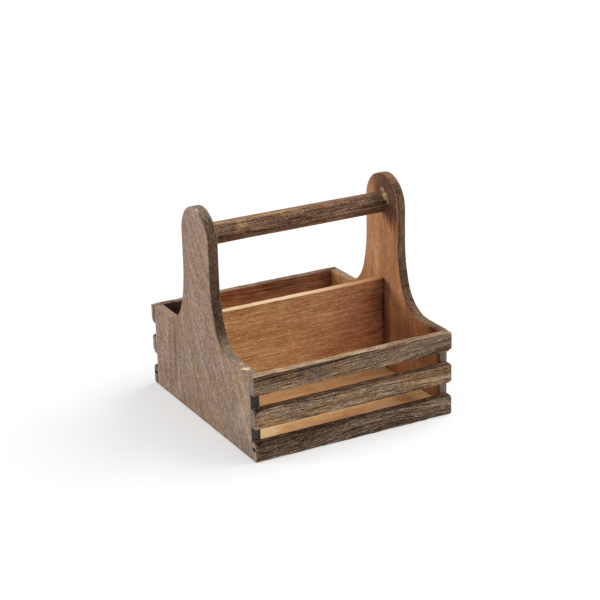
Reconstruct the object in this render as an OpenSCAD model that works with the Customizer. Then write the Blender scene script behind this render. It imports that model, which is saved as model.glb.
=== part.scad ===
// Slatted wooden table caddy with a round handle bar.
//
// Two shaped end panels carry everything. Three slats are pinned over the front
// edges of the panels and three over the rear edges. A floor and a divider stand
// between the panels, and a dowel joins their round tops as the handle.
//
// X runs along the handle, Y from front to rear and Z up, in millimetres. The
// origin is the middle of the footprint, on the table.

/* [Overall] */
// Width over the outer faces of the end panels
caddy_w = 200; // [160:1:320]
// Depth over the outer faces of the slats
caddy_d = 212; // [180:1:300]
// Height to the top of the round panel tops
caddy_h = 203; // [190:1:260]

/* [End panels] */
// Thickness of an end panel
panel_t = 9; // [8:0.5:14]
// Height of the shoulders, level with the top slats
shoulder_h = 80; // [66:1:96]
// Width of the upright and of its round top
upright_w = 56; // [44:1:70]
// How far above the shoulder the upright starts to widen
sweep_h = 64; // [55:1:80]
// Radius of the long arc where the upright starts to widen
sweep_upper_r = 125; // [90:1:160]
// Radius of the short arc that runs out along the shoulder
sweep_lower_r = 36; // [20:1:45]

/* [Slats] */
// Height of a slat
slat_h = 18.5; // [12:0.5:24]
// Thickness of a slat
slat_t = 8; // [6:0.5:12]
// Radius of the worn long edges on a slat's outer face
slat_outer_r = 1.2; // [0.5:0.1:2.8]
// Radius of the long edges on a slat's inner face
slat_inner_r = 0.6; // [0.2:0.1:1.5]

/* [Floor and divider] */
// Height of the floor's underside above the table
floor_z = 5; // [1:0.5:8]
// Thickness of the floor
floor_t = 8; // [5:0.5:10]
// Open joint between each end of the floor and its end panel
floor_joint = 0.4; // [0.1:0.1:0.9]
// Thickness of the divider
divider_t = 8; // [5:0.5:14]
// Height of the divider above the floor
divider_h = 89; // [50:1:110]
// Radius of the divider's two top edges
divider_edge_r = 0.8; // [0.2:0.1:2]

/* [Handle] */
// Diameter of the handle dowel
dowel_d = 20; // [14:0.5:28]
// How far the handle is above the centre of the round panel tops
handle_rise = 1; // [0:0.5:4]
// Depth of the blind socket in each end panel
socket_depth = 5; // [3:0.5:6]
// Glue gap round the dowel in its sockets, on the radius
dowel_gap = 0.1; // [0.05:0.05:0.3]

/* [Brads] */
// Diameter of a headless brad
brad_d = 1.2; // [0.8:0.1:1.8]
// Length of a brad
brad_l = 18; // [12:0.5:25]
// How far a brad is sunk below the slat's face
brad_sink = 1.2; // [0.5:0.1:2.5]
// Gap round a brad in its hole, on the radius
brad_gap = 0.05; // [0.02:0.01:0.2]

/* [Pin holes] */
// Diameter of the blind hole in the left end of each bottom slat
end_hole_d = 1.8; // [1:0.1:3]
// Depth of that hole
end_hole_depth = 6; // [2:0.5:12]

/* [Hidden] */

// Signs of the sides along X and Y
LEFT = -1;
RIGHT = 1;
FRONT = -1;
REAR = 1;

// Facets of a full round, and of one short arc in an outline
$fn = 96;
arc_steps = 14;
// How far a cutter passes a face that it cuts through
through = 1;

// The panels stand between the front and the rear slats
panel_d = caddy_d - 2 * slat_t;
inner_w = caddy_w - 2 * panel_t;
round_top_z = caddy_h - upright_w / 2;
handle_z = round_top_z + handle_rise;
floor_top = floor_z + floor_t;
// Slats share the height of the shoulder, with equal gaps between them
slat_pitch = (shoulder_h - slat_h) / 2;
slat_z = [0, slat_pitch, 2 * slat_pitch];
// Where each slat's brads enter, from the bottom slat up, as a share of its height
brad_share = [0.5, 0.18, 0.61];
// How far up its slat the blind end hole is, as a share of the slat's height
end_hole_share = 0.6;
// Brads enter the middle of a panel's edge
brad_x = caddy_w / 2 - panel_t / 2;

// Centre of the long upper arc and of the short lower arc of a shoulder's sweep.
// The arcs touch where the line through both centres meets them.
upper_y = upright_w / 2 + sweep_upper_r;
upper_z = shoulder_h + sweep_h;
lower_z = shoulder_h + sweep_lower_r;
centres = sweep_upper_r - sweep_lower_r;
lower_y = upper_y - sqrt(pow(centres, 2) - pow(upper_z - lower_z, 2));
touch_angle = 180 + asin((upper_z - lower_z) / centres);

// Points along an arc of radius r, from angle a0 to angle a1
function arc(centre_y, centre_z, r, a0, a1) = [
    for (i = [0 : arc_steps])
        let (a = a0 + (a1 - a0) * i / arc_steps)
            [centre_y + r * cos(a), centre_z + r * sin(a)]
];

// Turns a drawing made in Y and Z into a board that runs along X
module board(from_x, length) {
    translate([from_x, 0, 0])
        rotate([90, 0, 90])
            linear_extrude(height = length)
                children();
}

// Points of an end panel's rear edge, from the foot up to the round top
rear_edge = concat(
    [[panel_d / 2, 0], [panel_d / 2, shoulder_h]],
    arc(lower_y, lower_z, sweep_lower_r, 270, touch_angle),
    arc(upper_y, upper_z, sweep_upper_r, touch_angle, 180),
    [[upright_w / 2, round_top_z]]
);
edge_last = len(rear_edge) - 1;
front_edge = [for (i = [0 : edge_last]) let (p = rear_edge[edge_last - i]) [-p[0], p[1]]];

module panel_outline() {
    polygon(concat(rear_edge, front_edge));
    translate([0, round_top_z]) circle(d = upright_w);
}

// Rectangle with its corner at the origin and its upper left and right corners
// and lower corners rounded by their own radii
module eased_rectangle(w, h, r_left, r_right, ease_bottom) {
    difference() {
        square([w, h]);
        translate([0, h]) mirror([0, 1]) corner_waste(r_left);
        translate([w, h]) rotate(180) corner_waste(r_right);
        if (ease_bottom) {
            corner_waste(r_left);
            translate([w, 0]) mirror([1, 0]) corner_waste(r_right);
        }
    }
}

// What a rounded corner at the origin takes off a board that fills X and Y
module corner_waste(r) {
    difference() {
        translate([-through, -through]) square(r + through);
        translate([r, r]) circle(r = r, $fn = 32);
    }
}

// Everything that sits on the front or on the rear, drawn as if on the rear
module on_side(side) {
    if (side == FRONT)
        mirror([0, 1, 0]) children();
    else
        children();
}

// Round bars where a slat's two brads go, from below the slat's face to the tip
module brad_bars(level, d, outer_y) {
    tip_y = caddy_d / 2 - brad_sink - brad_l;
    for (end = [LEFT, RIGHT])
        translate([end * brad_x, outer_y, slat_z[level] + brad_share[level] * slat_h])
            rotate([90, 0, 0])
                cylinder(h = outer_y - tip_y, d = d);
}

// Holes of the brads, open at the slat's face
module brad_holes(level) {
    brad_bars(level, brad_d + 2 * brad_gap, caddy_d / 2 + through);
}

// End panel with its dowel socket on the inner face and brad holes in its edges
module end_panel(side) {
    socket_x = inner_w / 2 + socket_depth;
    difference() {
        board(side == LEFT ? -caddy_w / 2 : inner_w / 2, panel_t) panel_outline();
        translate([side * socket_x, 0, handle_z])
            rotate([0, -side * 90, 0])
                cylinder(h = socket_depth + through, d = dowel_d + 2 * dowel_gap);
        for (face = [FRONT, REAR], level = [0 : 2])
            on_side(face) brad_holes(level);
    }
}

// Slat on the front or the rear, at level 0, 1 or 2 from the table up
module slat(side, level) {
    on_side(side)
        difference() {
            translate([0, panel_d / 2, slat_z[level]])
                board(-caddy_w / 2, caddy_w)
                    eased_rectangle(slat_t, slat_h, slat_inner_r, slat_outer_r, true);
            brad_holes(level);
            if (level == 0)
                translate([-caddy_w / 2 - through, caddy_d / 2 - slat_t / 2,
                        end_hole_share * slat_h])
                    rotate([0, 90, 0])
                        cylinder(h = end_hole_depth + through, d = end_hole_d);
        }
}

module slat_brads(side) {
    on_side(side)
        for (level = [0 : 2])
            brad_bars(level, brad_d, caddy_d / 2 - brad_sink);
}

module left_end_panel() color("#9d8878") end_panel(LEFT);

module right_end_panel() color("#a87850") end_panel(RIGHT);

// Floor between the panels and between the bottom slats
module floor_panel() color("#dba66b")
    translate([-inner_w / 2 + floor_joint, -panel_d / 2, floor_z])
        cube([inner_w - 2 * floor_joint, panel_d, floor_t]);

// Divider that stands on the floor, halfway between front and rear
module divider() color("#a87450")
    translate([0, -divider_t / 2, floor_top])
        board(-inner_w / 2, inner_w)
            eased_rectangle(divider_t, divider_h, divider_edge_r, divider_edge_r, false);

// Dowel that ends on the bottoms of both sockets
module handle_dowel() color("#6b4a33")
    translate([-inner_w / 2 - socket_depth, 0, handle_z])
        rotate([0, 90, 0])
            cylinder(h = inner_w + 2 * socket_depth, d = dowel_d);

module front_slat_bottom() color("#5f4f41") slat(FRONT, 0);

module front_slat_middle() color("#6a5747") slat(FRONT, 1);

module front_slat_top() color("#655343") slat(FRONT, 2);

module rear_slat_bottom() color("#5f4f41") slat(REAR, 0);

module rear_slat_middle() color("#6a5747") slat(REAR, 1);

module rear_slat_top() color("#655343") slat(REAR, 2);

module front_slat_brads() color("#77716b") slat_brads(FRONT);

module rear_slat_brads() color("#77716b") slat_brads(REAR);

left_end_panel();
right_end_panel();
floor_panel();
divider();
handle_dowel();
front_slat_bottom();
front_slat_middle();
front_slat_top();
rear_slat_bottom();
rear_slat_middle();
rear_slat_top();
front_slat_brads();
rear_slat_brads();
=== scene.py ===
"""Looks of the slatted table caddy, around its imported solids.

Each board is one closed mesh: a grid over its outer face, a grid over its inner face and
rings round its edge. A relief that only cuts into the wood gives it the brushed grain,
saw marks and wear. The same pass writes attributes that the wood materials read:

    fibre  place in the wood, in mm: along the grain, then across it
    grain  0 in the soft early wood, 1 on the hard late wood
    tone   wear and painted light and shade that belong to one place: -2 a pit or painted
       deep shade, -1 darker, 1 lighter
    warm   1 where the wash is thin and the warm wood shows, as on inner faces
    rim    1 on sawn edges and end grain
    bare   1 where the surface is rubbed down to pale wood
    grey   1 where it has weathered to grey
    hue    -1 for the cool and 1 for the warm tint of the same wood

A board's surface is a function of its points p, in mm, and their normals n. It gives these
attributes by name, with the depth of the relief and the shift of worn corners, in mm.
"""

import itertools
import math

import bpy
import numpy as np
from mathutils import Matrix, Vector


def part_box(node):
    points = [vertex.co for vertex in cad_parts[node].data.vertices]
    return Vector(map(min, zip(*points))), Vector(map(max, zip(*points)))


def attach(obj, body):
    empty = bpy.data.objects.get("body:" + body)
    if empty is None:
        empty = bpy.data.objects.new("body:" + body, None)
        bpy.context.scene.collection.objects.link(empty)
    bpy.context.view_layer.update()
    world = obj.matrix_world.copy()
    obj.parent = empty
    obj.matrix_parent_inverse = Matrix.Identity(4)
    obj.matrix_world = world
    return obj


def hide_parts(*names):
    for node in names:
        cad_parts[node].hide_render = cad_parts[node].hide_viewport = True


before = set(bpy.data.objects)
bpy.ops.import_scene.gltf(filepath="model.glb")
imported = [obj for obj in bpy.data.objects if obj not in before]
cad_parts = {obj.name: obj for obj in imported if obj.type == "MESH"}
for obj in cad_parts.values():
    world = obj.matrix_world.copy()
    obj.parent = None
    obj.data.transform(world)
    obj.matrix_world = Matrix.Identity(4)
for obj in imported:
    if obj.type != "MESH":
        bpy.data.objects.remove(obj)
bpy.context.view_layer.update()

MM = 0.001
X, Y, Z = 0, 1, 2
LEFT, RIGHT = -1, 1
FRONT, REAR = -1, 1


def box_mm(node):
    low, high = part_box(node)
    return np.array(low) / MM, np.array(high) / MM


# Centre and radius of the handle, in mm
dowel_low, dowel_high = box_mm("handle_dowel")
HANDLE_Z = (dowel_low[Z] + dowel_high[Z]) / 2
HANDLE_R = (dowel_high[Z] - dowel_low[Z]) / 2

# Outline of an end panel, in mm
UPRIGHT_W = 56.0
SHOULDER_Z = 80.0
SWEEP_H = 64.0
SWEEP_UPPER_R = 125.0
SWEEP_LOWER_R = 36.0

# Headless brads: where they enter each slat, from the bottom slat up, as a share of its
# height. Their radius and place, and the pits over them, in mm.
BRAD_SHARE = (0.5, 0.18, 0.61)
BRAD_R = 0.6
BRAD_X = box_mm("front_slat_brads")[1][X] - BRAD_R
BRAD_PIT_R = 0.75
BRAD_PIT_DEPTH = 1.25
BRAD_PIT_EASE = 0.15

# Pin holes in the left ends of the bottom slats: share of the slat's height, and the worn
# pit round them, in mm, which is drawn wider than the CAD's bore and wider than it is high
END_HOLE_SHARE = 0.6
END_PIT_R = 1.9
END_PIT_WIDE = 1.3
END_PIT_DEPTH = 1.6
END_PIT_EASE = 0.2

# Each board's noise is moved by its seed times its stride, in mm
SLAT_STRIDE = 37.0
PANEL_STRIDE = 41.0
BOARD_STRIDE = 43.0
DOWEL_STRIDE = 47.0


# ---- camera

# Where the camera stands, in degrees from the front and up, and its roll
CAMERA_AZIMUTH = -28.23
CAMERA_ELEVATION = 20.36
CAMERA_ROLL = -1.42
CAMERA_DISTANCE = 1608.9 * MM
CAMERA_LENS = 104.98
CAMERA_SENSOR = 36.0
CAMERA_RANGE = 50.0
# The camera looks at this height over the origin, moved along its own right and up
AIM_Z = 80.0 * MM
AIM_RIGHT = 2.39 * MM
AIM_UP = 15.91 * MM


def add_object(name, data):
    item = bpy.data.objects.new(name, data)
    bpy.context.scene.collection.objects.link(item)
    return item


def direction(azimuth, elevation):
    """Unit vector from the origin, in degrees from the front towards the right, and up."""
    a, e = math.radians(azimuth), math.radians(elevation)
    return Vector((math.sin(a) * math.cos(e), -math.cos(a) * math.cos(e), math.sin(e)))


def add_camera():
    back = direction(CAMERA_AZIMUTH, CAMERA_ELEVATION)
    az, roll = math.radians(CAMERA_AZIMUTH), math.radians(CAMERA_ROLL)
    level_right = Vector((math.cos(az), math.sin(az), 0))
    level_up = back.cross(level_right)
    c, s = math.cos(roll), math.sin(roll)
    right = c * level_right + s * level_up
    up = c * level_up - s * level_right
    aim = Vector((0, 0, AIM_Z)) + AIM_RIGHT * right + AIM_UP * up
    data = bpy.data.cameras.new("camera")
    data.lens = CAMERA_LENS
    data.sensor_width = CAMERA_SENSOR
    data.clip_end = CAMERA_RANGE
    camera = add_object("camera", data)
    turn = Matrix((right, up, back)).transposed().to_4x4()
    camera.matrix_world = Matrix.Translation(aim + back * CAMERA_DISTANCE) @ turn
    bpy.context.scene.camera = camera


# ---- noise

def lattice(cell, seed):
    """A repeatable value from 0 to 1 for each whole-number cell, (n, 3)."""
    c = (cell.astype(np.int64) & 0xFFFFFFFF).astype(np.uint64)
    h = c[:, 0] * np.uint64(73856093)
    h ^= c[:, 1] * np.uint64(19349663)
    h ^= c[:, 2] * np.uint64(83492791)
    h ^= np.uint64((seed * 2654435761) & 0xFFFFFFFF)
    h = (h ^ (h >> np.uint64(15))) * np.uint64(2246822519)
    h = (h ^ (h >> np.uint64(13))) * np.uint64(3266489917)
    return ((h >> np.uint64(16)) & np.uint64(0xFFFF)) / 65535.0


def noise(p, size, seed):
    """Smooth noise from -1 to 1 at points p in mm, with this feature size along each axis."""
    q = p / size
    cell = np.floor(q)
    f = q - cell
    f = f * f * (3 - 2 * f)
    total = np.zeros(len(p))
    for corner in itertools.product((0, 1), repeat=3):
        weight = np.prod(np.where(corner, f, 1 - f), axis=1)
        total += weight * lattice(cell + corner, seed)
    return 2 * total - 1


def smooth(x, low, high):
    """0 below low, 1 above high, and a smooth step between."""
    t = np.clip((x - low) / (high - low), 0, 1)
    return t * t * (3 - 2 * t)


def spot(p, centre, size):
    """A soft blot: 1 at the centre, falling off over size along each axis."""
    d = (p - centre) / size
    return np.exp(-(d * d).sum(axis=1))


# ---- flat regions

def spaced(low, high, step):
    return np.linspace(low, high, max(2, int(round((high - low) / step)) + 1))


def refined(low, high, step, places, fine, reach):
    """Positions from low to high, closer together near some places."""
    marks = [spaced(low, high, step)]
    for place in places:
        marks.append(np.arange(place - reach, place + reach, fine))
    marks = np.unique(np.clip(np.concatenate(marks), low, high))
    keep = np.concatenate(([True], np.diff(marks) > fine / 2))
    keep[-1] = True
    return marks[keep]


def grid_quads(columns, rows, start=0):
    """Faces of a grid whose points run up the rows first."""
    i = np.arange(columns - 1)[:, None] * rows + np.arange(rows - 1)[None, :] + start
    return np.stack((i, i + rows, i + rows + 1, i + 1), axis=-1).reshape(-1, 4).tolist()


def boundary_loop(faces):
    """The outer loop of a flat set of faces, in order."""
    edges = set()
    for face in faces:
        edges.update(zip(face, face[1:] + face[:1]))
    follow = {a: b for a, b in edges if (b, a) not in edges}
    start = min(follow)
    loop = [start]
    while follow[loop[-1]] != start:
        loop.append(follow[loop[-1]])
    return np.array(loop)


class Rectangle:
    """A board's face, given by the columns and rows of its grid at full size.

    corners are the radii of its lower left, lower right, upper right and upper left corner.
    """

    def __init__(self, columns, rows, corners=(0, 0, 0, 0)):
        self.columns, self.rows, self.corners = columns, rows, corners
        self.faces = grid_quads(len(columns), len(rows))

    def points(self, inset_u, inset_v):
        u, v = np.meshgrid(self.columns, self.rows, indexing="ij")
        u, v = u.ravel(), v.ravel()
        half_u, half_v = self.columns[-1], (self.rows[-1] - self.rows[0]) / 2
        middle_v = (self.rows[-1] + self.rows[0]) / 2
        u = u * (half_u - inset_u) / half_u
        v = middle_v + (v - middle_v) * (half_v - inset_v) / half_v
        signs = ((-1, -1), (1, -1), (1, 1), (-1, 1))
        for (su, sv), r in zip(signs, self.corners):
            if r:
                a = su * u - (half_u - inset_u - r)
                b = sv * (v - middle_v) - (half_v - inset_v - r)
                inside = (a > 0) & (b > 0)
                a, b = a[inside] / r, b[inside] / r
                u[inside] += su * r * a * (np.sqrt(1 - b * b / 2) - 1)
                v[inside] += sv * r * b * (np.sqrt(1 - a * a / 2) - 1)
        return np.column_stack((u, v))


class Disc:
    """The end of a round bar, whose centre is at this v."""

    def __init__(self, radius, centre_v, around, rings):
        self.radius, self.around, self.rings = radius, around, rings
        self.centre = (0, centre_v)
        self.faces = []
        for i in range(around):
            j = (i + 1) % around
            self.faces.append([0, 1 + i, 1 + j])
            for k in range(rings - 1):
                a, b = 1 + k * around, 1 + (k + 1) * around
                self.faces.append([a + i, b + i, b + j, a + j])

    def points(self, inset_u, inset_v):
        angle = np.arange(self.around) * 2 * np.pi / self.around
        circle = np.column_stack((np.cos(angle), np.sin(angle)))
        scale = (self.radius - inset_u) * np.arange(1, self.rings + 1) / self.rings
        return np.concatenate([np.zeros((1, 2))] + [circle * s for s in scale]) + self.centre


def sweep_arcs():
    """Centres (y, z) of a sweep's two arcs, and the angle at which they touch."""
    upper = np.array((UPRIGHT_W / 2 + SWEEP_UPPER_R, SHOULDER_Z + SWEEP_H))
    lower_z = SHOULDER_Z + SWEEP_LOWER_R
    centres = SWEEP_UPPER_R - SWEEP_LOWER_R
    drop = upper[1] - lower_z
    lower = np.array((upper[0] - math.sqrt(centres ** 2 - drop ** 2), lower_z))
    return upper, lower, math.pi + math.asin(drop / centres)


def outline_inset(p):
    """How far points of an end panel lie inside its outline, in mm."""
    upper, lower, touch = sweep_arcs()
    y, z = np.abs(p[:, Y]), p[:, Z]
    round_z = z.max() - UPRIGHT_W / 2
    touch_z = lower[1] + SWEEP_LOWER_R * math.sin(touch)
    places = (z > round_z, z > upper[1], z > touch_z, y < lower[0])
    insets = (UPRIGHT_W / 2 - np.hypot(y, z - round_z),
              UPRIGHT_W / 2 - y,
              np.hypot(y - upper[0], z - upper[1]) - SWEEP_UPPER_R,
              np.hypot(y - lower[0], z - lower[1]) - SWEEP_LOWER_R)
    inset = np.select(places, insets, SHOULDER_Z - z)
    return np.minimum(inset, np.minimum(y.max() - y, z))


class PanelOutline:
    """Face of an end panel, made of two side blocks, a middle block and the round top."""

    SIDE_COLUMNS, MIDDLE_COLUMNS = 96, 80
    LOWER_ROWS, UPPER_ROWS = 62, 22
    ARC_POINTS = 60

    def __init__(self, half_depth, top):
        self.half_depth, self.top = half_depth, top
        blocks = self.blocks(0)
        stacked = np.concatenate([b.reshape(-1, 2) for b in blocks])
        _, self.first, merged = np.unique(
            np.round(stacked, 4), axis=0, return_index=True, return_inverse=True)
        merged = merged.ravel()
        self.faces, start = [], 0
        for block in blocks:
            columns, rows = block.shape[:2]
            for quad in grid_quads(columns, rows, start):
                self.faces.append([int(merged[i]) for i in quad])
            start += columns * rows

    def shoulder_path(self, inset, count):
        """Points down the sweep from the upright and out along the shoulder."""
        upper, lower, touch = sweep_arcs()
        a = np.linspace(math.pi, touch, self.ARC_POINTS)[:, None]
        b = np.linspace(touch, 1.5 * math.pi, self.ARC_POINTS)[:, None]
        path = np.concatenate((
            upper + (SWEEP_UPPER_R + inset) * np.hstack((np.cos(a), np.sin(a))),
            lower + (SWEEP_LOWER_R + inset) * np.hstack((np.cos(b), np.sin(b))),
            [[self.half_depth - inset, SHOULDER_Z - inset]]))
        length = np.concatenate(([0], np.cumsum(np.hypot(*np.diff(path, axis=0).T))))
        at = np.linspace(0, length[-1], count)
        return np.column_stack([np.interp(at, length, path[:, k]) for k in (0, 1)])

    def blocks(self, inset):
        half = UPRIGHT_W / 2 - inset
        centre_z = self.top - UPRIGHT_W / 2
        sweep_z = SHOULDER_Z + SWEEP_H

        def between(bottom, top, rows):
            s = np.linspace(0, 1, rows)[None, :, None]
            return bottom[:, None, :] * (1 - s) + top[:, None, :] * s

        n = self.SIDE_COLUMNS
        foot = np.column_stack((np.linspace(half, self.half_depth - inset, n), np.full(n, inset)))
        rear = between(foot, self.shoulder_path(inset, n), self.LOWER_ROWS)
        front = rear[::-1] * (-1, 1)
        y = np.linspace(-half, half, self.MIDDLE_COLUMNS)
        low = np.column_stack((y, np.full(len(y), inset)))
        mid = np.column_stack((y, np.full(len(y), sweep_z)))
        angle = np.linspace(math.pi, 0, self.MIDDLE_COLUMNS)
        dome = np.column_stack((half * np.cos(angle), centre_z + half * np.sin(angle)))
        return [front, between(low, mid, self.LOWER_ROWS), rear,
                between(mid, dome, self.UPPER_ROWS)]

    def points(self, inset_u, inset_v):
        stacked = np.concatenate([b.reshape(-1, 2) for b in self.blocks(inset_u)])
        return stacked[self.first]


# ---- boards

# Rings over a rounded edge
EDGE_RINGS = 5


def edge_rings(thickness, r_outer, r_inner, step, end_ease=None):
    """(inset along u, inset along v, height) of each ring, from the outer face inwards.

    r_outer and r_inner are the radii of the edges, step is the distance between the rings
    on the flat of the edge, and end_ease is the radius at the ends of u, where it differs.
    """
    rings = []
    half = thickness / 2
    for radius, sign in ((r_outer, 1), (r_inner, -1)):
        ease = radius if end_ease is None else end_ease
        arc = []
        for a in np.linspace(0, math.pi / 2, EDGE_RINGS):
            inset, sink = 1 - math.sin(a), radius * (1 - math.cos(a))
            arc.append((ease * inset, radius * inset, sign * (half - sink)))
        rings.append(arc)
    straight = spaced(-half + r_inner, half - r_outer, step)[1:-1][::-1]
    return rings[0] + [(0, 0, w) for w in straight] + rings[1][::-1]


def slab(region, rings):
    """Local points (u, v, w), in mm, and faces of a closed board."""
    loop = boundary_loop(region.faces)
    outer = region.points(*rings[0][:2])
    inner = region.points(*rings[-1][:2])
    n = len(outer)
    sets = [np.column_stack((outer, np.full(n, rings[0][2]))),
            np.column_stack((inner, np.full(n, rings[-1][2])))]
    faces = [list(f) for f in region.faces] + [[i + n for i in reversed(f)] for f in region.faces]
    previous, start = loop, 2 * n
    for inset_u, inset_v, w in rings[1:-1]:
        ring = region.points(inset_u, inset_v)[loop]
        sets.append(np.column_stack((ring, np.full(len(loop), w))))
        current = np.arange(start, start + len(loop))
        faces += band(previous, current)
        previous, start = current, start + len(loop)
    faces += band(previous, loop + n)
    return np.concatenate(sets), faces


def band(a, b):
    """Quads between two loops of equal length."""
    return np.stack((a, b, np.roll(b, -1), np.roll(a, -1)), axis=-1).tolist()


ATTRIBUTES = ("grain", "tone", "warm", "rim", "bare", "grey", "hue")


def make_piece(node, slot, region, axes, sign, edges, surface):
    """Builds a board over its node, cuts its relief, and gives it its attributes and wood.

    u, v and w of the region run along these axes, and w times sign. edges are the last
    values that edge_rings takes.
    """
    low, high = box_mm(node)
    through = axes[2]
    local, faces = slab(region, edge_rings(high[through] - low[through], *edges))
    points = np.empty_like(local)
    points[:, axes] = local * (1, 1, sign)
    points[:, through] += (low[through] + high[through]) / 2
    name = node + "_wood"
    mesh = bpy.data.meshes.new(name)
    mesh.from_pydata((points * MM).tolist(), [], faces)
    mesh.update()
    normals = np.empty(len(points) * 3)
    mesh.vertices.foreach_get("normal", normals)
    normals = normals.reshape(-1, 3)
    # All faces look out, or all look in
    if (points * normals).sum() < 0:
        mesh.flip_normals()
        normals = -normals
    look = surface(points, normals)
    cut = points - normals * np.maximum(look["depth"], 0)[:, None] + look.get("worn", 0)
    low, high = points.min(axis=0), points.max(axis=0)
    mesh.vertices.foreach_set("co", (np.clip(cut, low, high) * MM).ravel())
    nothing = np.zeros(len(points))
    for key in ATTRIBUTES:
        layer = mesh.attributes.new(key, "FLOAT", "POINT")
        layer.data.foreach_set("value", np.asarray(look.get(key, nothing), np.float32))
    layer = mesh.attributes.new("fibre", "FLOAT_VECTOR", "POINT")
    layer.data.foreach_set("vector", np.asarray(look["fibre"], np.float32).ravel())
    mesh.polygons.foreach_set("use_smooth", np.ones(len(mesh.polygons), bool))
    mesh.materials.append(WOODS[slot])
    mesh.update()
    piece = add_object(name, mesh)
    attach(piece, "root")
    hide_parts(node)


# ---- wood materials

def colour(r, g, b):
    """Display colour, 0 to 255, as the linear colour that a shader takes."""
    def linear(c):
        c /= 255
        return c / 12.92 if c <= 0.04045 else ((c + 0.055) / 1.055) ** 2.4
    return (linear(r), linear(g), linear(b), 1)


# Index of a Mix node's first value and of its result
MIX_SOCKETS = {"VECTOR": (4, 1), "RGBA": (6, 2)}


class Graph:
    """Short calls for building the nodes of a material or a world."""

    def __init__(self, owner):
        self.owner = owner
        owner.use_nodes = True
        self.tree = owner.node_tree
        self.tree.nodes.clear()

    def node(self, kind, inputs=None, **settings):
        node = self.tree.nodes.new("ShaderNode" + kind)
        for key, value in settings.items():
            setattr(node, key, value)
        for key, value in (inputs or {}).items():
            if isinstance(value, bpy.types.NodeSocket):
                self.tree.links.new(value, node.inputs[key])
            else:
                node.inputs[key].default_value = value
        return node

    def attribute(self, name, output="Fac"):
        return self.node("Attribute", attribute_name=name).outputs[output]

    def math(self, operation, a, b=0.0, c=0.0):
        return self.node("Math", {0: a, 1: b, 2: c}, operation=operation).outputs[0]

    def add_scaled(self, value, factor, base):
        return self.math("MULTIPLY_ADD", value, factor, base)

    def texture(self, vector, along, across, detail=1.0):
        """Noise, centred on 0, with features of this length in mm along and across the grain."""
        stretch = (1 / along, 1 / across, 1 / across)
        scaled = self.node("VectorMath", {0: vector, 1: stretch}, operation="MULTIPLY")
        noise_node = self.node("TexNoise", {
            "Vector": scaled.outputs[0], "Scale": 1.0, "Detail": detail, "Roughness": 0.5})
        return self.math("SUBTRACT", noise_node.outputs["Fac"], 0.5)

    def ramp(self, value, stops):
        """Colour ramp through (position, colour) stops."""
        node = self.node("ValToRGB", {"Fac": value})
        elements = node.color_ramp.elements
        while len(elements) < len(stops):
            elements.new(0.5)
        for element, (position, tint) in zip(elements, stops):
            element.position = position
            element.color = tint
        return node.outputs["Color"]

    def seen(self):
        """1 for rays that show the background: from the camera, a mirror or glass."""
        path = self.node("LightPath").outputs
        reflected = self.math("MAXIMUM", path["Is Glossy Ray"], path["Is Transmission Ray"])
        return self.math("MAXIMUM", path["Is Camera Ray"], reflected)

    def mix(self, factor, a, b, kind="RGBA"):
        """Mixes two colours, or two vectors."""
        first, result = MIX_SOCKETS[kind]
        node = self.node("Mix", {0: factor, first: a, first + 1: b}, data_type=kind)
        return node.outputs[result]

    def scaled(self, vector, factor):
        return self.node("VectorMath", {0: vector, "Scale": factor}, operation="SCALE").outputs[0]

    def map_range(self, value, low, high, start=0.0, stop=1.0):
        """Goes from start to stop as the input goes from low to high."""
        inputs = {"Value": value, 1: low, 2: high, 3: start, 4: stop}
        return self.node("MapRange", inputs).outputs[0]


# Swing of a noise texture that stands for one display level
LEVEL = 1.45 / 255


class Skin:
    """A wood surface: its colours from dark to light, and the strength of its grain.

    The middle colour is the usual one. strengths are display levels, one for each size of
    the wood's grain, and then those of dark dashes and of light flecks.
    """

    def __init__(self, shades, strengths):
        self.shades, self.strengths = shades, strengths

    def stops(self):
        """Ramp stops that put each shade at its own lightness, the middle one at 0.5."""
        levels = [(0.30 * r + 0.59 * g + 0.11 * b) / 255 for r, g, b in self.shades]
        middle = levels[len(levels) // 2]
        return [(0.5 + level - middle, colour(*shade))
                for level, shade in zip(levels, self.shades)]

    def weights(self):
        scaled = [s * LEVEL for s in self.strengths[:6]]
        marks = [s / 255 for s in self.strengths[6:]]
        return tuple(scaled[:3]), tuple(scaled[3:]), (-marks[0], marks[1], 0.0)


# How far a tone of 1 moves a wood's colour along its ramp
TONE_SWING = 0.25
# What is left of the colour at a tone of -2, in a pit or a place of painted deep shade
PIT_SHADE = 0.12


def wood_value(g, skins, marks, groups, grain):
    """Place on the colour ramps, from 0 dark to 1 light."""
    outer, inner, rim = skins
    value = g.add_scaled(marks["tone"], TONE_SWING, 0.5)
    value = g.add_scaled(marks["grain"], grain, g.math("SUBTRACT", value, grain / 2))
    for k, group in enumerate(groups):
        strength = g.mix(marks["warm"], outer.weights()[k], inner.weights()[k], "VECTOR")
        strength = g.mix(marks["rim"], strength, rim.weights()[k], "VECTOR")
        packed = g.node("CombineXYZ", dict(enumerate(group))).outputs[0]
        part = g.node("VectorMath", {0: packed, 1: strength}, operation="DOT_PRODUCT")
        value = g.math("ADD", value, part.outputs["Value"])
    return value


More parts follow.
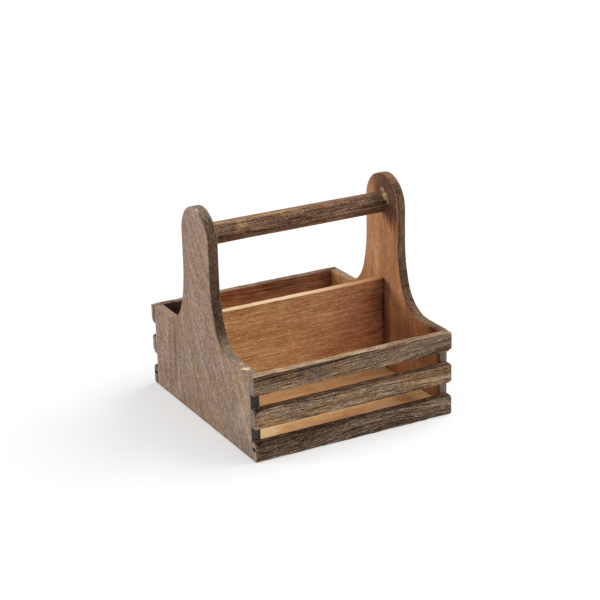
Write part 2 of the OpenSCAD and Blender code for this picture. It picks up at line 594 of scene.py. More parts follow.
def wood_colour(g, skins, marks, value, worn, patches, bare, tints):
    """Colour at a value: skins by place, weathered, rubbed bare and tinted in patches."""
    outer, inner, rim = skins
    face = g.mix(marks["warm"], g.ramp(value, outer.stops()), g.ramp(value, inner.stops()))
    face = g.mix(marks["rim"], face, g.ramp(value, rim.stops()))
    lightness = g.add_scaled(value, 1.6, 0.2)
    face = g.mix(marks["grey"], face, g.scaled(colour(*GREY)[:3], lightness))
    face = g.mix(worn, face, g.scaled(colour(*bare)[:3], lightness))
    patches = g.node("Clamp", {0: g.add_scaled(marks["hue"], 0.5, patches)}).outputs[0]
    tint = g.mix(patches, tints[0], tints[1], "VECTOR")
    face = g.node("VectorMath", {0: face, 1: tint}, operation="MULTIPLY").outputs[0]
    return g.scaled(face, g.map_range(marks["tone"], -2.0, -1.0, PIT_SHADE, 1.0))


def add_wood(slot, skins, bare, sizes, tints, rough=0.72, bump=0.5, grain=0.12):
    """A washed and brushed wood. skins are its outer, inner and edge skin.

    bare is the colour of rubbed places, sizes are those of the grain's features, and tints
    are its cool and its warm tint. rough is its roughness, bump its relief, and grain how
    much lighter late wood is than early wood.
    """
    g = Graph(bpy.data.materials.new(slot))
    fibre = g.attribute("fibre", "Vector")
    marks = {key: g.attribute(key) for key in ATTRIBUTES}
    layers = [g.texture(fibre, along, across) for along, across in sizes]
    dashes = g.map_range(layers[1], -0.09, -0.17)
    flecks = g.map_range(layers[0], 0.09, 0.17)
    groups = (layers[:3], layers[3:], (dashes, flecks, 0.0))
    value = wood_value(g, skins, marks, groups, grain)
    worn = g.math("ADD", marks["bare"], g.math("MULTIPLY", layers[2], 0.8))
    worn = g.map_range(worn, 0.3, 0.7)
    patches = g.add_scaled(g.texture(fibre, 24.0, 5.0, 3.0), 3.0, 0.5)
    face = wood_colour(g, skins, marks, value, worn, patches, bare, tints)
    height = g.add_scaled(layers[1], 1.4, layers[0])
    height = g.math("SUBTRACT", height, g.math("MULTIPLY", dashes, 0.15))
    height = g.add_scaled(layers[2], 1.6, height)
    relief = g.node("Bump", {"Height": height, "Strength": bump, "Distance": 0.5 * MM})
    gloss = g.map_range(value, 0.2, 0.8, rough + 0.1, rough - 0.1)
    shader = g.node("BsdfPrincipled", {
        "Base Color": face, "Roughness": gloss, "Normal": relief.outputs[0],
        "Specular IOR Level": 0.12})
    g.node("OutputMaterial", {"Surface": shader.outputs[0]})
    WOODS[slot] = g.owner


# Skins of the woods: shades from dark to light, then strengths
PANEL_OUTER = Skin(
    ((84, 64, 52), (126, 100, 83), (160, 131, 110), (188, 162, 142), (218, 202, 188)),
    (80, 52, 44, 26, 20, 12, 16, 16))
PANEL_INNER = Skin(
    ((110, 64, 40), (150, 98, 62), (184, 131, 90), (208, 156, 110), (230, 184, 136)),
    (22, 16, 20, 20, 20, 26, 24, 0))
PANEL_RIM = Skin(
    ((32, 23, 17), (58, 42, 31), (88, 66, 50), (128, 103, 80), (176, 150, 120)),
    (62, 42, 22, 12, 6, 10, 14, 18))
SLAT_OUTER = Skin(
    ((44, 32, 23), (84, 63, 46), (132, 104, 78), (176, 150, 120), (220, 204, 180)),
    (64, 84, 100, 24, 10, 8, 30, 30))
SLAT_INNER = Skin(
    ((60, 30, 20), (104, 62, 44), (152, 100, 70), (186, 134, 96), (208, 164, 122)),
    (16, 24, 60, 44, 40, 24, 20, 0))
SLAT_END = Skin(
    ((50, 41, 36), (94, 79, 70), (137, 119, 107), (170, 153, 140), (200, 186, 174)),
    (96, 76, 44, 24, 16, 10, 24, 24))
FLOOR_FACE = Skin(
    ((166, 106, 66), (196, 144, 98), (236, 188, 136), (246, 208, 158), (253, 222, 178)),
    (12, 16, 16, 24, 10, 10, 12, 0))
DIVIDER_FACE = Skin(
    ((104, 66, 40), (158, 108, 70), (202, 146, 100), (226, 176, 126), (244, 204, 156)),
    (22, 32, 44, 48, 12, 16, 8, 22))
DIVIDER_TOP = Skin(
    ((170, 112, 68), (222, 166, 114), (252, 206, 152), (255, 220, 170), (255, 232, 190)),
    (10, 14, 10, 20, 10, 24, 10, 0))
DOWEL_FACE = Skin(
    ((38, 26, 19), (78, 56, 43), (118, 86, 65), (170, 132, 94), (214, 180, 136)),
    (44, 60, 70, 50, 20, 30, 24, 40))
# Colours of rubbed and of weathered wood
BARE = (238, 212, 176)
SLAT_BARE = (214, 186, 156)
DOWEL_BARE = (206, 168, 108)
GREY = (142, 136, 128)

# Sizes of the grain's features along and across the grain, in mm
PANEL_GRAIN = ((1.5, 0.8), (3.2, 0.9), (18, 0.9), (60, 1.3), (12, 8), (60, 8))
SLAT_GRAIN = ((2.2, 0.6), (12, 0.6), (80, 0.75), (120, 1.6), (12, 8), (60, 8))
BOARD_GRAIN = ((1.6, 0.8), (4, 0.8), (22, 0.9), (70, 1.2), (12, 8), (60, 8))

# Cool and warm tints, as factors of linear red, green and blue
WASH_TINTS = ((0.95, 1.0, 1.14), (1.05, 1.0, 0.86))
SLAT_TINTS = ((0.95, 0.99, 1.13), (1.06, 1.0, 0.84))
BARE_TINTS = ((1.04, 0.91, 0.98), (0.97, 1.04, 1.0))
FLOOR_TINTS = ((0.99, 1.0, 0.95), (0.96, 1.07, 1.10))

# The woods by slot
WOODS = {}
add_wood("end_panel_wood", (PANEL_OUTER, PANEL_INNER, PANEL_RIM), BARE, PANEL_GRAIN, WASH_TINTS)
add_wood("slat_wood", (SLAT_OUTER, SLAT_INNER, SLAT_END), SLAT_BARE, SLAT_GRAIN, SLAT_TINTS,
         bump=0.8)
add_wood("floor_wood", (FLOOR_FACE, FLOOR_FACE, FLOOR_FACE), BARE, BOARD_GRAIN, FLOOR_TINTS)
add_wood("divider_wood", (DIVIDER_FACE, DIVIDER_FACE, DIVIDER_TOP), BARE, BOARD_GRAIN,
         BARE_TINTS)
add_wood("dowel_wood", (DOWEL_FACE, DOWEL_FACE, SLAT_END), DOWEL_BARE, SLAT_GRAIN, SLAT_TINTS,
         rough=0.6, grain=0.2)


# ---- wear

def add_marks(look, p, marks, seed):
    """Adds soft ragged blots. marks gives each attribute its (strength, centre, size)."""
    ragged = np.column_stack([noise(p, (5, 5, 5), seed + k) for k in range(3)])
    ragged += 0.5 * np.column_stack([noise(p, (1.8, 1.8, 1.8), seed + 3 + k) for k in range(3)])
    for key, blots in marks.items():
        total = 0
        for strength, centre, size in blots:
            stray = ragged * np.minimum(np.array(size) * 0.35, 3.0)
            total = total + strength * spot(p + stray, centre, size)
        look[key] = look.get(key, 0) + total
    return look


def worn_corner(p, corner, facing, reach, seed):
    """Shift that rubs a corner down to a rough plane, reach mm below its tip."""
    facing = np.array(facing) / np.linalg.norm(facing)
    over = (p - corner) @ facing + reach + 0.5 * noise(p, (1.5, 1.5, 1.5), seed)
    return -np.maximum(over, 0)[:, None] * facing


# ---- slats

# Middle value of the growth rings
RING_MEAN = 0.45


def ring_waves(p, along, spacing, seed, wander=1.0):
    """Growth rings that run along one axis: 0 in early wood, 1 on late wood."""
    size = np.full(3, 9.0)
    size[along] = 75.0
    bend = wander * (2.4 * noise(p, size, seed) + 0.8 * noise(p, size / 3, seed + 1))
    across = p[:, (along + 2) % 3] + 0.35 * p[:, (along + 1) % 3]
    phase = (across + bend) / spacing
    late = 0.5 + 0.5 * np.sin(2 * np.pi * phase)
    return late ** 1.5


def slat_rise(level, x, height):
    """Rise of the grain along a slat, in mm: an arch, a straight run or a fan.

    height is 0 at the slat's foot and 1 at its top.
    """
    if level == 0:
        return 9.0 * np.exp(-((x - 20) / 62) ** 2)
    if level == 1:
        return 0.9 * np.sin(x / 17) - 0.02 * x
    return 0.03 * x + 16.0 * (1 - height) * smooth(x, 10, 120)


# Lightness of each slat's outer face, and the painted light and shade of its top face, from
# the bottom slat up: the lower slats' tops are painted dark as if shaded by the slat above
SLAT_FACE_TONE = (-0.45, 0.0, -0.24)
SLAT_TOP_LIGHT_AND_SHADE = {FRONT: (-0.9, -0.7, 0.3), REAR: (-0.6, -0.4, -0.1)}

# Tint of each slat's outer face, and how strongly its lines show
SLAT_HUE = (-0.9, 0.3, -0.5)
SLAT_LINES = (0.7, 0.72, 1.0)

# Corners of a board's face, as signs along its length and its height
CORNERS = ((-1, -1), (1, -1), (1, 1), (-1, 1))

# How far each of these corners is rubbed off the slats' outer faces, in mm, and the radii
# that the slats' outlines have there
SLAT_CORNERS = {FRONT: ((0.8, 1.2, 1.5, 4.8), (0.8, 1.8, 1.2, 4.4), (0.8, 2.4, 1.8, 1.0)),
                REAR: ((1.6, 1.0, 1.2, 1.2), (3.0, 1.2, 1.0, 1.0), (3.4, 1.2, 1.0, 0.8))}
SLAT_ROUNDS = {FRONT: ((0.6, 0.8, 1.2, 2.4), (0.8, 1.8, 1.6, 2.4), (0.6, 2.4, 1.6, 0.8)),
               REAR: ((1.0, 0.8, 1.0, 1.0), (1.6, 1.0, 1.0, 0.9), (1.8, 1.0, 1.0, 0.8))}

# Blots on single slats
SLAT_MARKS = {
    (FRONT, 0): {
        "tone": ((-0.25, (75, -106, 3), (30, 4, 4)), (0.25, (20, -106, 14), (26, 4, 3)),
                 (0.3, (80, -106, 12), (30, 4, 5)), (-0.5, (80, -106, 0.5), (26, 4, 1.5)),
                 (-0.3, (-60, -106, 17), (60, 4, 3)), (0.45, (-100, -102, 9), (2, 9, 12))),
        "hue": ((-0.8, (70, -106, 12), (40, 4, 7)), (0.8, (-82, -106, 12), (16, 3, 4))),
    },
    (FRONT, 1): {
        "hue": ((1.2, (-88, -106, 34), (18, 4, 3.5)), (-1.2, (-50, -106, 44), (22, 4, 3.5)),
                (-1.0, (95, -106, 40), (12, 4, 9))),
        "warm": ((0.3, (-90, -106, 34), (16, 4, 4)), (0.25, (60, -106, 46), (24, 4, 4))),
        "tone": ((0.2, (-30, -106, 38), (60, 4, 5)), (-0.4, (-97, -106, 45), (8, 4, 4)),
                 (-0.3, (40, -106, 32), (50, 4, 2))),
    },
    (FRONT, 2): {
        "warm": ((0.3, (-84, -106, 77), (26, 4, 3)),),
        "tone": ((-0.3, (-84, -106, 77), (26, 4, 3)), (0.15, (-20, -106, 65), (40, 4, 4)),
                 (0.15, (80, -106, 74), (34, 4, 6))),
        "hue": ((0.9, (-20, -106, 64), (36, 4, 3)), (-1.2, (88, -106, 66), (22, 4, 12)),
                (0.6, (-97, -106, 68), (5, 4, 5))),
        "bare": ((0.28, (-97, -106, 68), (4, 4, 4)),),
    },
    (REAR, 2): {
        # The strong dark, grey blot at (-84, 98, 71) is painted shade on the inner face beside
        # the left panel
        "tone": ((-0.5, (86, 98, 71), (10, 3, 12)), (-1.85, (-84, 98, 71), (20, 3, 16)),
                 (-0.6, (20, 98, 73), (40, 3, 1.1)), (-0.6, (-22, 98, 75), (16, 3, 1.0)),
                 (0.35, (-100, 102, 70), (3, 8, 12))),
        "hue": ((1.0, (0, 98, 70), (70, 3, 10)),),
        "grey": ((0.6, (-84, 98, 71), (18, 3, 16)), (0.14, (60, 98, 71), (44, 3, 14))),
    },
}


def slat_lines(q, rings, seed):
    """Long dark lines of late wood, and paler lines and flecks between them."""
    dark = smooth(noise(q, (140, 14, 1.1), seed + 12), 0.1, 0.6)
    pale = smooth(noise(q, (34, 9, 0.85), seed + 13), 0.3, 0.75)
    flecks = smooth(noise(q, (3.4, 1.0, 0.8), seed + 14), 0.35, 0.8)
    return 0.5 * pale + 0.5 * flecks - 0.55 * dark - 0.4 * (rings - RING_MEAN)


def cut_brad_pits(depth, p, outward, brad_z):
    """A slat's relief with the pits over its two brads."""
    for brad_x in (-BRAD_X, BRAD_X):
        r = np.hypot(p[:, X] - brad_x, p[:, Z] - brad_z)
        pit = outward * (1 - smooth(r, BRAD_PIT_R - BRAD_PIT_EASE, BRAD_PIT_R + BRAD_PIT_EASE))
        depth = np.where(pit > 0.02, depth + pit * (BRAD_PIT_DEPTH - depth), depth)
    return depth


def end_pit(p, n, hole_z):
    """1 in the worn pit round the pin hole in a slat's left end."""
    middle_y = (p[:, Y].min() + p[:, Y].max()) / 2
    r = np.hypot((p[:, Y] - middle_y) / END_PIT_WIDE, p[:, Z] - hole_z)
    pit = 1 - smooth(r, END_PIT_R - END_PIT_EASE, END_PIT_R + END_PIT_EASE)
    return pit * smooth(-n[:, X], 0.5, 0.8)


def rub_corners(p, side, level, seed):
    """Shift that rubs down the corners of a slat's outer face."""
    shift = np.zeros_like(p)
    outer_y = side * np.abs(p[:, Y]).max()
    for (along, up), reach in zip(CORNERS, SLAT_CORNERS[side][level]):
        tip_z = p[:, Z].min() if up < 0 else p[:, Z].max()
        tip = (along * p[:, X].max(), outer_y, tip_z)
        facing = (0.7 * along, 0.9 * side, up)
        shift = shift + worn_corner(p, tip, facing, reach, seed)
    return shift


def slat_surface(side, level, seed):
    """How a slat is cut and coloured."""
    def surface(p, n):
        foot = p[:, Z].min()
        height = p[:, Z].max() - foot
        q = p + seed * SLAT_STRIDE
        q[:, Z] -= slat_rise(level, -side * p[:, X], (p[:, Z] - foot) / height)
        q[:, Z] += 0.5 * noise(p, (34, 7, 7), seed + 7)
        rings = ring_waves(q, X, 2.5, seed, wander=0.45)
        coarse = noise(q, (60, 1.5, 1.5), seed + 2)
        thin = noise(q, (15, 0.9, 0.9), seed + 3)
        grain = np.clip(0.62 + 0.26 * (rings - RING_MEAN) + 0.3 * coarse + 0.42 * thin, 0, 1)
        end = smooth(np.abs(n[:, X]), 0.6, 0.9)
        inside = smooth(-side * n[:, Y], 0.5, 0.8)
        outside = smooth(side * n[:, Y], 0.2, 0.7)
        up = smooth(n[:, Z], 0.5, 0.85)
        # Brushed grain, with chips along the outer face's edges
        depth = 0.7 * (1 - grain) * (1 - 0.75 * inside) * (1 - 0.6 * end)
        chips = smooth(noise(q, (7, 2.2, 2.2), seed + 4), 0.3, 0.75)
        edge = smooth(np.abs(n[:, Y] * n[:, Z]), 0.15, 0.45)
        edge = np.maximum(edge, smooth(np.abs(n[:, X] * n[:, Y]), 0.15, 0.45))
        depth = depth + 0.8 * chips * edge
        outward = smooth(side * n[:, Y], 0.5, 0.8)
        depth = cut_brad_pits(depth, p, outward, foot + BRAD_SHARE[level] * height)
        tone = 0.15 * noise(q, (45, 7, 7), seed + 5) + SLAT_FACE_TONE[level] * outside
        tone += SLAT_LINES[level] * slat_lines(q, rings, seed) * outside
        # Painted light and shade on the top faces: the lower slats' tops are darkened as in the
        # shade of the slat above
        tone += (SLAT_TOP_LIGHT_AND_SHADE[side][level] + 0.25 * noise(q, (8, 4, 4), seed + 6)) * up
        if level == 0:
            # The pit round the pin hole is cut, and painted dark as shade in the hole
            pit = end_pit(p, n, foot + END_HOLE_SHARE * height)
            depth = depth + END_PIT_DEPTH * pit
            tone = tone - 3.0 * pit
        worn = rub_corners(p, side, level, seed + 8)
        tone -= 0.35 * smooth(np.abs(worn).max(axis=1), 0.4, 1.6)
        # The top slats' top faces are paler, most of all at the left
        top_edge = up * (level == 2)
        tone = tone - 0.3 * top_edge * p[:, X] / p[:, X].max()
        # The ends show end grain, and the bottom slats' ends are stained like their faces
        fibre = np.where(end[:, None] > 0.5, q[:, ::-1], q)
        look = {"depth": depth, "grain": grain, "tone": tone, "warm": inside,
                "rim": end * (1.0 if level else 0.5), "fibre": fibre, "worn": worn,
                "bare": 0.3 * top_edge * (side == FRONT),
                "hue": SLAT_HUE[level] * outside - 0.15 * end}
        return add_marks(look, p, SLAT_MARKS.get((side, level), {}), seed + 9)
    return surface


def add_slat(node, side, level, seed):
    low, high = box_mm(node)
    columns = refined(low[X], high[X], 1.0, (-BRAD_X, BRAD_X), 0.25, 1.5)
    region = Rectangle(columns, spaced(low[Z], high[Z], 0.38), SLAT_ROUNDS[side][level])
    make_piece(node, "slat_wood", region, (X, Z, Y), side, (1.1, 0.6, 0.42, 0.4),
               slat_surface(side, level, seed))


# ---- end panels

# Tone of the rim along the shoulders
FOOT_TONE = {LEFT: 0.5, RIGHT: 0.25}

# Blots on the end panels
PANEL_MARKS = {
    LEFT: {
        "bare": ((0.65, (-95, -84, 80), (6, 6, 4)), (0.4, (-95, -72, 80), (5, 5, 4)),
                 (0.6, (-100, 49, 28), (3, 0.9, 30)), (0.7, (-100, -6, 202), (2, 3, 3))),
        "grey": ((0.8, (-100, 49, 40), (3, 1.4, 50)), (0.25, (-100, -62, 20), (3, 24, 30)),
                 (0.2, (-100, -10, 55), (3, 30, 20)), (0.35, (-100, -92, 6), (3, 18, 16))),
        "tone": ((-0.35, (-100, 52, 60), (3, 5, 30)), (-0.3, (-100, 54, 66), (3, 3, 22)),
                 (0.2, (-100, 34, 95), (3, 3, 18)), (0.25, (-100, -86, 30), (3, 14, 40)),
                 (-0.3, (-100, -92, 4), (3, 18, 14)), (-0.25, (-95, -42, 104), (8, 9, 16))),
        "hue": ((1.2, (-100, 30, 95), (3, 4, 18)), (0.9, (-100, -90, 60), (3, 8, 20))),
    },
    RIGHT: {
        # The tone blot at (91.4, -97.5, 38) is a thin painted shade along the inner arris of the
        # front edge, between the slats
        "tone": ((0.25, (91, -17, 150), (4, 5, 7)), (0.25, (91, 20, 170), (4, 9, 30)),
                 (0.3, (91, 16, 120), (4, 16, 26)), (-0.9, (91, -90, 76), (4, 9, 8)),
                 (-0.3, (91, -60, 55), (4, 30, 20)), (0.15, (95, -70, 80), (8, 30, 5)),
                 (0.65, (96, -98, 38), (6, 3, 34)), (0.35, (91, -22, 88), (4, 13, 22)),
                 (0.3, (91, -50, 32), (4, 34, 18)), (-1.5, (91.4, -97.5, 38), (1.3, 2, 36)),
                 (-0.05, (97, -28, 160), (6, 3, 40)), (-0.2, (97, -14, 200), (6, 16, 9))),
        "hue": ((1.6, (91, -18, 152), (4, 7, 9)), (-0.3, (97, -28, 150), (6, 3, 36))),
        "warm": ((-0.5, (91, -88, 76), (4, 9, 8)), (0.8, (97, -28, 160), (6, 3, 40)),
                 (0.8, (97, -12, 200), (6, 18, 9)), (0.5, (95, 70, 80), (9, 34, 5))),
        "grey": ((0.4, (96, -98, 38), (6, 3, 34)), (0.17, (91, -46, 32), (4, 44, 20))),
        "rim": ((-0.28, (97, -28, 160), (6, 3, 40)), (-0.22, (97, -12, 200), (6, 18, 9))),
    },
}


def lean_of_grain(p):
    """How far the grain of an outer face has strayed along Y at each point, in mm."""
    leaning = smooth(-p[:, Y], -60, -8)
    return leaning * (0.40 * p[:, Z] + 0.00125 * p[:, Z] ** 2)


def panel_surface(side, seed):
    """How an end panel is cut and coloured."""
    def surface(p, n):
        inside = smooth(-side * n[:, X], 0.2, 0.8)
        inset = outline_inset(p)
        across = p[:, Y] - np.where(inside > 0.5, 0.02 * p[:, Z], lean_of_grain(p))
        q = np.column_stack((p[:, Z], across, p[:, X])) + seed * PANEL_STRIDE
        rings = ring_waves(q, 0, 7.5, seed)
        thin = noise(q, (12, 0.9, 0.9), seed + 1)
        coarse = noise(q, (45, 2.2, 2.2), seed + 2)
        grain = np.clip(0.5 + 0.24 * (rings - RING_MEAN) + 0.24 * coarse + 0.36 * thin, 0, 1)
        # The rim has saw marks, which run aslant
        rim = 1 - smooth(np.abs(n[:, X]), 0.35, 0.8)
        turned = p @ np.array(((1, 0, 0), (0, 0.8, 0.6), (0, -0.6, 0.8)))
        saw = noise(turned, (2.0, 5, 1.1), seed + 3)
        depth = (0.16 - 0.06 * inside) * (1 - grain) + rim * 0.09 * (1 - saw)
        tone = 0.12 * noise(q, (60, 14, 14), seed + 4) + rim * 0.12 * saw
        # The front arris of the upright is rubbed round, and dark like the rim
        face = smooth(side * n[:, X], 0.5, 0.9)
        arris = smooth(-p[:, Y], 6, 16) * smooth(p[:, Z], 78, 90) * face
        depth = depth + 0.9 * arris * np.clip(1 - inset / 2.4, 0, 1) ** 2
        rim = np.maximum(rim, arris * (1 - smooth(inset + 0.4 * thin, 1.5, 2.5)))
        # The dome's top and the sweep's foot have weathered, and their rims are paler
        dome = rim * smooth(n[:, Z], 0.55, 0.98) * smooth(p[:, Z], 184, 198)
        foot = rim * smooth(n[:, Z], 0.35, 0.9) * smooth(-p[:, Z], -112, -86)
        rear = foot * smooth(p[:, Y], 20, 30)
        tone = tone + 0.3 * dome + FOOT_TONE[side] * foot
        look = {"depth": depth, "grain": grain, "tone": tone, "warm": inside, "rim": rim,
                "fibre": q, "hue": 0.4 * noise(q, (30, 20, 20), seed + 5)}
        if side == LEFT:
            add_left_wear(look, p, n, dome, foot, rear)
        else:
            look["rim"] = rim * (1 - 0.45 * rear)
            look["hue"] = look["hue"] + 0.2 * dome + 0.1 * foot
            add_right_wear(look, p, inset, seed)
        return add_marks(look, p, PANEL_MARKS[side], seed + 9)
    return surface


def add_left_wear(look, p, n, dome, foot, rear):
    """Rear shoulder worn to the colour of the face, and painted shade on the front edge between
    the slats.
    """
    painted_gap_shade = look["rim"] * smooth(-n[:, Y], 0.6, 0.9) * smooth(-p[:, Y], 94, 97)
    look["rim"] = look["rim"] * (1 - 0.85 * rear)
    look["tone"] -= 0.5 * rear
    # Painted shade darkens and greys the front edge seen between the slats
    look["tone"] -= 1.15 * painted_gap_shade
    look["grey"] = 0.22 * dome + 0.25 * foot * smooth(-p[:, Y], 20, 30) + 0.5 * painted_gap_shade


def add_right_wear(look, p, inset, seed):
    """Stain round the handle, glue at its joint, the worn arris of the right panel, and a painted
    shadow beside the divider.
    """
    inner = look["warm"]
    y, z = p[:, Y], p[:, Z]
    depth_in = np.abs(p[:, X]) - np.abs(p[:, X]).min()
    ragged = noise(p, (8, 2.6, 7), seed + 6) + 0.6 * noise(p, (4, 1.2, 3), seed + 7)
    streaks = noise(p, (8, 1.6, 15), seed + 8)
    blot = 1.1 * spot(p, (91, -7, 191), (8, 21, 17)) + 0.7 * spot(p, (91, -17, 170), (8, 11, 17))
    stain = inner * smooth(blot + 0.2 * ragged + 0.3 * streaks, 0.12, 0.8)
    look["tone"] -= 0.95 * stain
    look["warm"] = inner * (1 - 0.6 * stain)
    look["hue"] = look["hue"] + 0.4 * stain - 0.3 * inner
    look["grey"] = stain * (0.12 + 0.4 * smooth(streaks + 0.6 * ragged, 0.2, 0.9))
    # Glue squeezed out round the joint's front and top
    ring = np.hypot(y, z - HANDLE_Z)
    glue = inner * np.exp(-((ring - HANDLE_R - 1.4) / 1.3) ** 2)
    glue *= smooth(z - HANDLE_Z - 0.3 * y, 2, 6) * smooth(-y, -5, -1) * (0.75 + 0.5 * ragged)
    look["bare"] = 1.3 * np.clip(glue, 0, 1)
    look["tone"] += np.clip(glue, 0, 1)
    # Golden line where the arris is rubbed through, and a dark line by it
    front = smooth(-y, 2, 12)
    upright = front * smooth(z, 132, 146) * smooth(-z, -200, -190)
    golden = upright * (1 - smooth(depth_in, 0.5, 1.2)) * (1 - smooth(inset, 0.5, 1.3))
    golden *= 0.8 * smooth(noise(p, (3, 3, 9), seed + 10), -0.7, 0.2)
    look["rim"] = look["rim"] * (1 - golden)
    look["warm"] = np.maximum(look["warm"], golden)
    groove = 1.4 * upright * np.exp(-((depth_in - 1.8) / 0.6) ** 2)
    groove += upright * inner * np.exp(-((inset - 2.2) / 0.8) ** 2)
    low_arris = front * smooth(-z, -146, -136) * smooth(z, 80, 84)
    groove += low_arris * (1 - smooth(depth_in, 0.8, 1.8)) * (1 - smooth(inset, 0.6, 1.4))
    look["tone"] -= 0.4 * groove
    # Painted shadow: a dark strip on the panel beside the divider
    painted_shadow = inner * smooth(-y, 3, 4.5) * (1 - smooth(-y + 0.7 * ragged, 11, 14.5))
    painted_shadow *= smooth(-z, -104, -98)
    look["tone"] -= 0.6 * painted_shadow
    look["hue"] = look["hue"] - 1.2 * painted_shadow
    look["grey"] = look["grey"] + 0.18 * painted_shadow


def add_end_panel(node, side, seed):
    high = box_mm(node)[1]
    make_piece(node, "end_panel_wood", PanelOutline(high[Y], high[Z]), (Y, Z, X), side,
               (0.8, 0.6, 0.7), panel_surface(side, seed))


# ---- floor, divider, handle

# Blots on the floor, divider and handle, many of them painted light and shade
# The floor's blots are painted light and shade: paler and golden at the front left, darker
# towards the divider and at the right
FLOOR_PAINTED_LIGHT_AND_SHADE = {
    "tone": ((-0.35, (0, -18, 13), (200, 22, 4)), (0.2, (90, -86, 13), (24, 12, 4)),
             (0.9, (-92, -92, 13), (16, 12, 4)), (-0.5, (0, -88, 13), (56, 18, 4)),
             (0.8, (-74, -76, 13), (13, 12, 4)), (-0.8, (68, -80, 13), (11, 16, 4))),
    "hue": ((-1.6, (-76, -78, 13), (18, 16, 4)),),
}
# The divider's tone blots are mostly painted light and shade: lighter at the left, a painted
# highlight along the left of its top edge, darker at its right end, and a dark band of painted
# shade where it meets the right panel. The bare line and grey are its own colour.
DIVIDER_MARKS_AND_PAINTED_LIGHT = {
    "tone": ((-0.3, (95, -4, 60), (45, 4, 90)), (-0.5, (95, -4, 80), (16, 4, 60)),
             (0.36, (-40, -4, 42), (70, 4, 26)), (-0.12, (-40, -4, 100), (70, 4, 6)),
             (-0.3, (-40, -4, 101.5), (90, 4, 1.2)), (-0.35, (98, 0, 102), (30, 3.4, 0.9)),
             (1.1, (-70, 0, 102), (110, 3.4, 0.9)), (-1.0, (91.5, -4, 55), (2.2, 4, 60)),
             (-0.45, (91, -4, 86), (16, 4, 26))),
    "hue": ((1.2, (-80, -4, 60), (70, 6, 80)), (-1.6, (95, -4, 60), (50, 6, 80)),
            (-0.5, (0, 0, 102), (140, 3.4, 0.9))),
    "bare": ((0.45, (88.4, -4, 76), (0.6, 3, 24)),),
    "grey": ((0.14, (93, -4, 60), (14, 4, 60)),),
}
# On the handle, the long pale strip along its upper front (0, -8, 184) is a painted highlight,
# and the long dark strip low on its front (20, -9, 173) is painted shade. The other blots are
# glue, grey and wear.
DOWEL_MARKS_AND_PAINTED_LIGHT = {
    "grey": ((0.25, (-73, -8, 180), (4, 8, 8)),),
    "tone": ((-0.4, (-74, -8, 178), (8, 8, 9)), (-0.4, (20, -9, 173), (60, 6, 4)),
             (-0.5, (84, -9, 178), (12, 8, 8)), (1.4, (90, -6, 184), (1.6, 5, 3.4))),
    "bare": ((0.45, (-56, -8, 181), (9, 5, 4)), (0.5, (-75, -9.5, 171), (2, 3, 3)),
             (0.25, (0, -8, 184), (60, 5, 3)), (1.1, (90, -6, 184), (1.6, 5, 3.4))),
    "hue": ((-0.3, (0, -9, 172), (90, 9, 5)),),
}


def board_surface(seed, relief, marks):
    """A plain board with its grain along X and a bare sawn upper edge."""
    def surface(p, n):
        q = p + seed * BOARD_STRIDE
        rings = ring_waves(q, X, 5.5, seed)
        thin = noise(q, (8, 1.0, 1.0), seed + 1)
        grain = np.clip(0.5 + 0.25 * (rings - RING_MEAN) + 0.42 * thin, 0, 1)
        look = {"depth": relief * (1 - grain), "grain": grain, "fibre": q,
                "tone": 0.15 * noise(q, (50, 11, 11), seed + 2),
                "rim": smooth(n[:, Z], 0.5, 0.85)}
        return add_marks(look, p, marks, seed + 3)
    return surface


def add_floor(node, seed):
    low, high = box_mm(node)
    region = Rectangle(spaced(low[X], high[X], 2.2), spaced(low[Y], high[Y], 1.2))
    make_piece(node, "floor_wood", region, (X, Y, Z), 1, (0.5, 0.5, 1.5),
               board_surface(seed, 0.12, FLOOR_PAINTED_LIGHT_AND_SHADE))


def add_divider(node, seed):
    low, high = box_mm(node)
    region = Rectangle(spaced(low[X], high[X], 1.1), spaced(low[Z], high[Z], 0.6))
    make_piece(node, "divider_wood", region, (X, Z, Y), FRONT, (0.8, 0.8, 0.8, 0.3),
               board_surface(seed, 0.18, DIVIDER_MARKS_AND_PAINTED_LIGHT))


def dowel_surface(seed):
    def surface(p, n):
        q = p + seed * DOWEL_STRIDE
        rings = ring_waves(q, X, 3.6, seed)
        thin = noise(q, (16, 0.9, 0.9), seed + 1)
        coarse = noise(q, (40, 2.4, 2.4), seed + 2)
        grain = np.clip(0.5 + 0.3 * (rings - RING_MEAN) + 0.32 * coarse + 0.3 * thin, 0, 1)
        # The underside is less washed and shows the orange wood
        below = smooth(-n[:, Z], 0.3, 0.9)
        look = {"depth": 0.36 * (1 - grain), "grain": grain, "fibre": q,
                "tone": 0.2 * noise(q, (40, 8, 8), seed + 3), "hue": 0.9 * below}
        return add_marks(look, p, DOWEL_MARKS_AND_PAINTED_LIGHT, seed + 4)
    return surface


def add_dowel(node, seed):
    make_piece(node, "dowel_wood", Disc(HANDLE_R, HANDLE_Z, 120, 4), (Y, Z, X), 1,
               (0.4, 0.4, 1.1), dowel_surface(seed))


# ---- brads

def finish_brads():
    """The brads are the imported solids, with a dull steel finish."""
    g = Graph(bpy.data.materials.new("brad_steel"))
    place = g.node("TexCoord").outputs["Object"]
    mottle = g.node("TexNoise", {"Vector": place, "Scale": 2500.0, "Detail": 3.0})
    tint = g.ramp(mottle.outputs["Fac"], ((0.35, colour(48, 40, 36)), (0.65, colour(96, 88, 82))))
    shader = g.node("BsdfPrincipled", {"Base Color": tint, "Metallic": 0.8, "Roughness": 0.5})
    g.node("OutputMaterial", {"Surface": shader.outputs[0]})
    for node in ("front_slat_brads", "rear_slat_brads"):
        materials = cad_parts[node].data.materials
        for i in range(len(materials)):
            materials[i] = g.owner


# ---- stage and light

# Half the table's side, in metres
TABLE_HALF = 6.0
# Colour by which the table lights the caddy, and the share of glow in what the camera sees
TABLE_GREY = (0.8, 0.8, 0.8, 1)
WHITE = (1, 1, 1, 1)
TABLE_GLOW = 0.45
# Light from all round
AMBIENT = 0.10
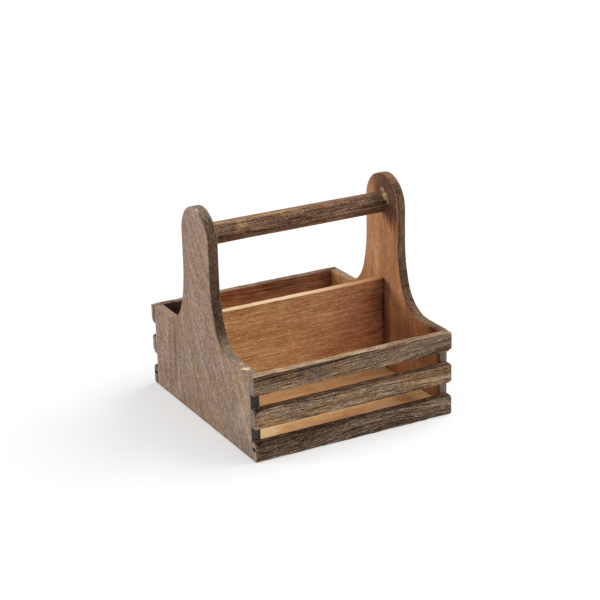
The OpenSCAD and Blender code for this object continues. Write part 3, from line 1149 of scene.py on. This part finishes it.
# Lamps: name, azimuth, elevation, strength and spread. Strength 1 lights a white that
# faces the lamp to 1, and the angles are in degrees.
LAMPS = (("right_fill", 88, 28, 0.79, 70), ("left_window", 240, 13, 0.38, 20),
         ("upper_left", 280, 65, 0.18, 50), ("upper_right", 88, 68, 0.34, 60),
         ("front_fill", 0, 28, 0.15, 60))


def add_stage():
    mesh = bpy.data.meshes.new("table")
    h = TABLE_HALF
    mesh.from_pydata([(-h, -h, 0), (h, -h, 0), (h, h, 0), (-h, h, 0)], [], [(0, 1, 2, 3)])
    g = Graph(bpy.data.materials.new("table_top"))
    matt = g.node("BsdfDiffuse", {"Color": TABLE_GREY})
    bright = g.node("BsdfDiffuse", {"Color": WHITE})
    white = g.node("Emission", {"Color": WHITE})
    pale = g.node("MixShader", {0: TABLE_GLOW, 1: bright.outputs[0], 2: white.outputs[0]})
    shader = g.node("MixShader", {0: g.seen(), 1: matt.outputs[0], 2: pale.outputs[0]})
    g.node("OutputMaterial", {"Surface": shader.outputs[0]})
    mesh.materials.append(g.owner)
    table = add_object("table", mesh)


def add_light():
    for name, azimuth, elevation, strength, spread in LAMPS:
        data = bpy.data.lights.new(name, "SUN")
        data.energy = math.pi * strength
        data.angle = math.radians(spread)
        lamp = add_object(name, data)
        lamp.rotation_euler = direction(azimuth, elevation).to_track_quat("Z", "Y").to_euler()
    world = bpy.data.worlds.new("studio")
    g = Graph(world)
    strength = g.map_range(g.seen(), 0.0, 1.0, AMBIENT, 1.0)
    sky = g.node("Background", {"Color": WHITE, "Strength": strength})
    g.node("OutputWorld", {"Surface": sky.outputs[0]})
    bpy.context.scene.world = world


# ---- build

add_camera()
add_stage()
add_light()
bpy.context.scene.view_settings.view_transform = "Standard"

add_end_panel("left_end_panel", LEFT, seed=3)
add_end_panel("right_end_panel", RIGHT, seed=5)
add_floor("floor_panel", seed=71)
add_divider("divider", seed=83)
add_dowel("handle_dowel", seed=97)
for level, height_name in enumerate(("bottom", "middle", "top")):
    add_slat("front_slat_" + height_name, FRONT, level, seed=11 + level)
    add_slat("rear_slat_" + height_name, REAR, level, seed=21 + level)
finish_brads()
